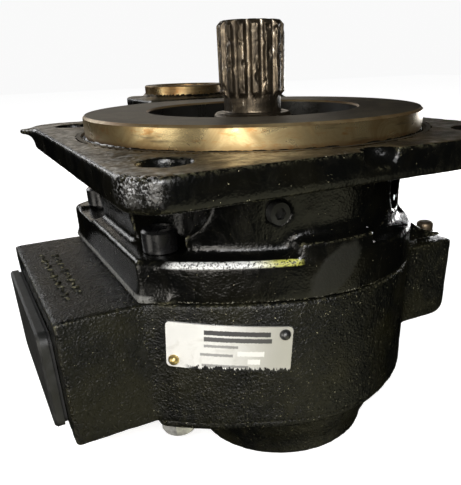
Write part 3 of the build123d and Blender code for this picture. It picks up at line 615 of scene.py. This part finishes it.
def cast_copy(node, voxel, fillet_steps, edge_steps, lumps, machined):
    """A copy of a CAD casting with cast fillets, worn edges and a slightly lumpy skin."""
    mesh = remeshed(new_mesh(node + "_closed", joined_bmesh(nodes[node].data)), node + "_cast", voxel)
    piece = link(node + "_cast", mesh)
    points = vertex_points(mesh)
    edges = edge_pairs(mesh)
    # Hollow corners fill in at every step, sharp edges wear only in the first few
    for step in range(fillet_steps):
        if step % 4 == 0:
            move_points(mesh, points)
            normals = vertex_normals(mesh)
        pull = neighbour_mean(edges, points) - points
        hollow = np.einsum("ij,ij->i", pull, normals) > 0
        share = np.where(hollow | (step < edge_steps), 0.5, 0.0)
        points += pull * share[:, None]
    move_points(mesh, points)
    depth = np.array([skin_depth(Vector(p) / MM, lumps) for p in points])
    depth = depth + machined(points / MM)
    move_points(mesh, points - vertex_normals(mesh) * (depth * MM)[:, None])
    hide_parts(node)
    ride(piece, "housing")
    return piece


def half_above_or_below(node, level, above):
    """The part of a CAD node on one side of a level, closed with a flat cap."""
    work = joined_bmesh(nodes[node].data)
    geometry = work.verts[:] + work.edges[:] + work.faces[:]
    plane = {"plane_co": (0, 0, level * MM), "plane_no": (0, 0, 1)}
    cut = bmesh.ops.bisect_plane(work, geom=geometry, clear_inner=above, clear_outer=not above, **plane)
    rim = [e for e in cut["geom_cut"] if isinstance(e, bmesh.types.BMEdge)]
    bmesh.ops.contextual_create(work, geom=rim)
    return new_mesh("shaft_half", work)


def worn_shaft(node, split_z, voxel):
    """A copy of the drive shaft whose end above a level is remeshed finely and nicked."""
    top = remeshed(half_above_or_below(node, split_z, True), "shaft_top", voxel)
    points = vertex_points(top)
    radius = np.hypot(points[:, 0], points[:, 1]) / MM
    nicks = np.array([nick_depth(Vector(p) / MM) for p in points])
    # Nicks have their full depth only on the teeth's crests
    toothed = np.clip((radius - TEETH_FOOT_R) / 0.8, 0, 1) * (points[:, 2] > TEETH_FOOT_Z * MM)
    depth = WORN_SKIN + nicks * (0.12 + 0.88 * toothed)
    move_points(top, points - vertex_normals(top) * (depth * MM)[:, None])
    joined = bmesh.new()
    joined.from_mesh(half_above_or_below(node, split_z, False))
    joined.from_mesh(top)
    mesh = new_mesh("drive_shaft_worn", joined)
    mesh.shade_smooth()
    mesh.set_sharp_from_angle(angle=radians(38))
    piece = link("drive_shaft_worn", mesh)
    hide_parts(node)
    ride(piece, "drive_shaft")
    return piece


def nick_depth(place):
    """Dents and chips along the spline's crests, in millimetres."""
    chips = noise.noise(Vector((place.x / 2.1, place.y / 2.1, place.z / 3.2)))
    small = noise.noise(place / 0.9)
    return max(0.0, chips - 0.2) * 1.5 + max(0.0, small - 0.2) * 0.3


def cast_marks(name, top_z):
    """Rows of short raised cast strokes, of no meaning."""
    strokes = [(x, y, k) for x, y, count in MARK_ROWS for k in range(count)]
    long, wide, high = MARK_SIZE
    work = bmesh.new()
    for index, (x, y, k) in enumerate(strokes):
        # Each stroke has its own turn, in radians
        turn = 0.5 * (k * 7 % 5 - 2)
        size = Matrix.Diagonal((long + 0.6 * sin(index * 2.3), wide, high, 1))
        spot = Matrix.Translation((x, y + MARK_PITCH * k, top_z)) @ Matrix.Rotation(turn, 4, "Z") @ size
        bmesh.ops.create_cube(work, size=1.0, matrix=Matrix.Scale(MM, 4) @ spot)
    bmesh.ops.bevel(work, geom=work.edges[:], offset=MARK_BEVEL * MM, segments=2, affect="EDGES")
    mesh = new_mesh(name, work)
    mesh.shade_smooth()
    return link(name, mesh)


def skin_depth(place, lumps):
    """How far the cast skin lies under its nominal surface, in millimetres."""
    wide = noise.noise(place / 14) * 0.5 + 0.5
    small = noise.noise(place / 3.6) * 0.5 + 0.5
    return lumps * (0.35 * wide + 0.3 * small)


def no_machining(points):
    """For a casting with no turned face."""
    return np.zeros(len(points))


def cover_machining(points):
    """Sinks the cover's skin under its turned faces."""
    radius = np.hypot(points[:, 0], points[:, 1])
    collar = np.hypot(points[:, 0] - COLLAR[0], points[:, 1] - COLLAR[1])
    inside = (radius < FACE_R + 1.2) & (points[:, 2] > UNDERCUT_Z - 0.8)
    inside |= (collar < COLLAR_R + 0.5) & (points[:, 2] > COLLAR_SEAT_Z - 0.3)
    return np.where(inside, SUNK_DEPTH, 0.0)


def lathe(name, profile, centre=(0.0, 0.0), steps=240):
    """Turns (radius, height) points in millimetres round a vertical axis."""
    vertices, faces = [], []
    for k in range(steps):
        angle = 2 * pi * k / steps
        for radius, height in profile:
            x, y = centre[0] + radius * cos(angle), centre[1] + radius * sin(angle)
            vertices.append((x * MM, y * MM, height * MM))
    count = len(profile)
    for k in range(steps):
        for i in range(count - 1):
            a, b = k * count + i, ((k + 1) % steps) * count + i
            faces.append((a, b, b + 1, a + 1))
    mesh = bpy.data.meshes.new(name)
    mesh.from_pydata(vertices, [], faces)
    mesh.shade_smooth()
    mesh.set_sharp_from_angle(angle=radians(25))
    return link(name, mesh)


add_camera()
add_stage()
lights = {light[0]: add_light(*light) for light in LIGHTS}
lights["floor_wash"].visible_glossy = False

looks = {
    "casing_paint": cast_enamel("casing_paint", 1.0, BLACK_PAINT, OLIVE_PAINT, 0.016, 0.24)[0],
    "shaft_steel": oily_steel("shaft_steel", (0.10, 0.079, 0.054), (0.036, 0.028, 0.019), 0.34),
    "bronze": plain_metal("bronze", (0.62, 0.45, 0.24), (0.45, 0.3, 0.15), 0.3),
    "seal_rubber": soft_black("seal_rubber", (0.012, 0.012, 0.012), 0.6),
    "bright_steel": plain_metal("bright_steel", (0.5, 0.49, 0.47), (0.3, 0.29, 0.28), 0.25),
    "dark_screw_steel": plain_metal("dark_screw_steel", SCREW_BLACK, SCREW_SHADE, 0.2, 0.3),
    "nut_steel": plain_metal("nut_steel", (0.5, 0.5, 0.48), (0.2, 0.2, 0.19), 0.4, 0.6),
    "cap_plastic": soft_black("cap_plastic", (0.006, 0.0063, 0.0058), 0.42),
    "gasket": soft_black("gasket", (0.004, 0.004, 0.004), 0.7),
    "plug_brown": plain_metal("plug_brown", (0.25, 0.2, 0.14), (0.12, 0.09, 0.06), 0.35),
    "plate_aluminium": plate_face("plate_aluminium"),
    "rivet_brass": plain_metal("rivet_brass", (0.6, 0.47, 0.2), (0.35, 0.26, 0.1), 0.25),
    "rivet_steel": plain_metal("rivet_steel", (0.12, 0.12, 0.12), (0.05, 0.05, 0.05), 0.3),
}
for part in frame["record"]["subparts"]:
    use(nodes[part["node"]], looks[part["material_slot"]])
# The plug in the neck takes the dull black of the plastic caps
use(nodes["gallery_plug"], looks["cap_plastic"])

cover = cast_copy("mounting_cover", *COVER_GRID, cover_machining)
housing = cast_copy("gear_housing", *HOUSING_GRID, no_machining)
rear = cast_copy("rear_cover", *REAR_GRID, no_machining)
shaft = worn_shaft("drive_gear_shaft", SHAFT_SPLIT_Z, SHAFT_VOXEL)
marks = cast_marks("left_block_cast_marks", JOINT_Z - 0.3)
ride(marks, "housing")
use(shaft, looks["shaft_steel"])
for piece in (housing, rear, marks):
    use(piece, looks["casing_paint"])
use(cover, cover_enamel("cover_paint"))

# Turned faces, as (radius, height) profiles
pilot_profile = [(FACE_R + 1.5, FACE_Z - 0.02), (FACE_R, FACE_Z), (FACE_R, UNDERCUT_Z), (PILOT_R, UNDERCUT_Z)]
pilot_profile += [(PILOT_R, PILOT_TOP - 0.8), (PILOT_R - 0.8, PILOT_TOP), (RECESS_R + 0.6, PILOT_TOP)]
pilot_profile += [(RECESS_R, PILOT_TOP - 0.6), (RECESS_R, RECESS_Z), (SHAFT_WELL_R, RECESS_Z)]
pilot_profile += [(SHAFT_WELL_R, SHAFT_WELL_Z)]
collar_profile = [(COLLAR_R, COLLAR_SEAT_Z - 0.8), (COLLAR_R, COLLAR_TOP - 0.5), (COLLAR_R - 0.5, COLLAR_TOP)]
collar_profile += [(COLLAR_RIM_R + 0.5, COLLAR_TOP), (COLLAR_RIM_R, COLLAR_TOP - 0.5)]
collar_profile += [(COLLAR_RIM_R, COLLAR_SEAT_Z), (PORT_R, COLLAR_SEAT_Z), (PORT_R, PORT_END_Z)]
turned = bronze_band("turned_face")
pilot = lathe("pilot_turned_face", pilot_profile)
collar = lathe("collar_turned_face", collar_profile, COLLAR, 96)
for piece in (pilot, collar):
    use(piece, turned)
    ride(piece, "housing")
